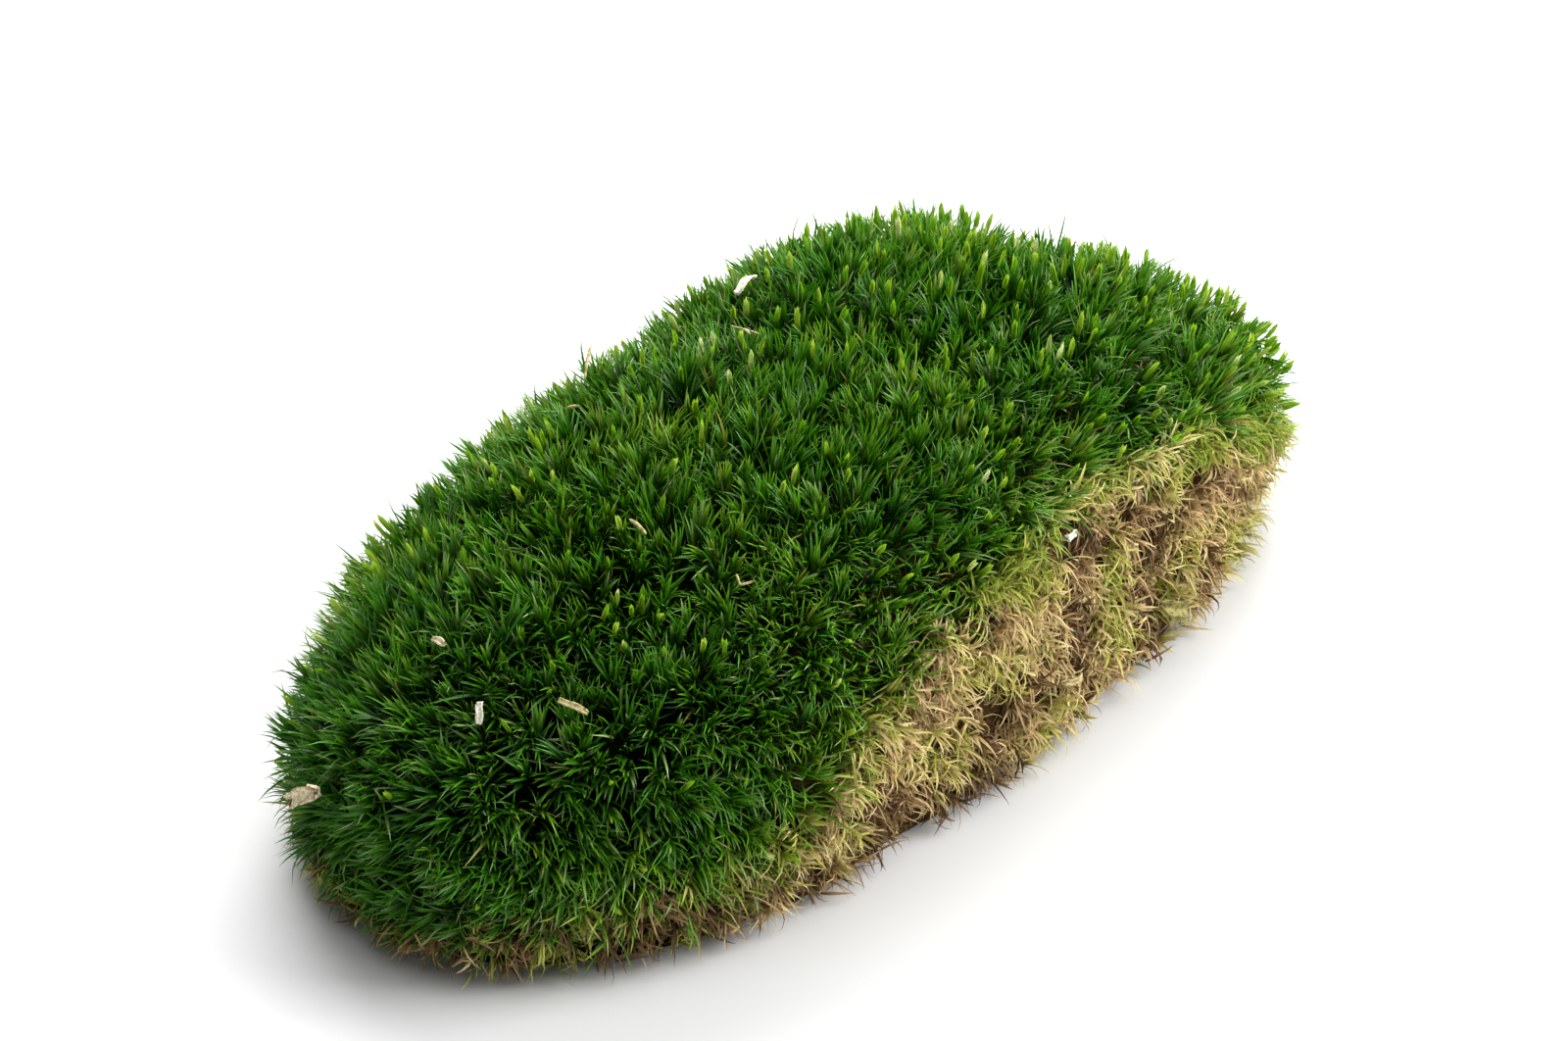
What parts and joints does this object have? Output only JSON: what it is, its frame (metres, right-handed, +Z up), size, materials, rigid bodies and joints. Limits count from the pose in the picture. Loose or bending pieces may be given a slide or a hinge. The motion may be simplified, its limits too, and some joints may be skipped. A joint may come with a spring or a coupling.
{
  "type": "moss clump",
  "caption": "Loaf-shaped clump of cushion moss, green above and torn to its dead tan stems along one side, cut off flat to rest on a surface.",
  "frame": {"origin": "on the flat cut under the clump, below the middle of its box", "axes": "+Z up, +X along the torn side towards the end that is split into two lobes, the torn side facing -Y"},
  "size_m": [0.1678, 0.0882, 0.0507],
  "materials": {
    "living_moss": "soft, matt, fine upright leaves with pale yellow-green tips",
    "dead_moss": "dry, matt, curled tan and brown stems and leaves",
    "pale_fibre": "matt, off-white, torn fibre",
    "straw": "dry straw, slightly silky",
    "husk": "matt tan bud scale",
    "dead_leaf": "matt olive-brown, curled",
    "root": "dull, near black"
  },
  "bodies": {
    "root": {"moss_cushion": "living_moss", "white_flake": "pale_fibre", "ridge_flake": "pale_fibre", "torn_edge_flake": "pale_fibre", "straw_strip": "straw", "curled_straw": "straw", "forked_straw": "straw", "bent_straw": "straw", "cream_needle": "straw", "short_needle": "straw", "yellow_needle": "straw", "tan_husk": "husk", "bud_scale": "husk", "curled_leaf": "dead_leaf", "dark_rootlet": "root"}
  },
  "joints": []
}
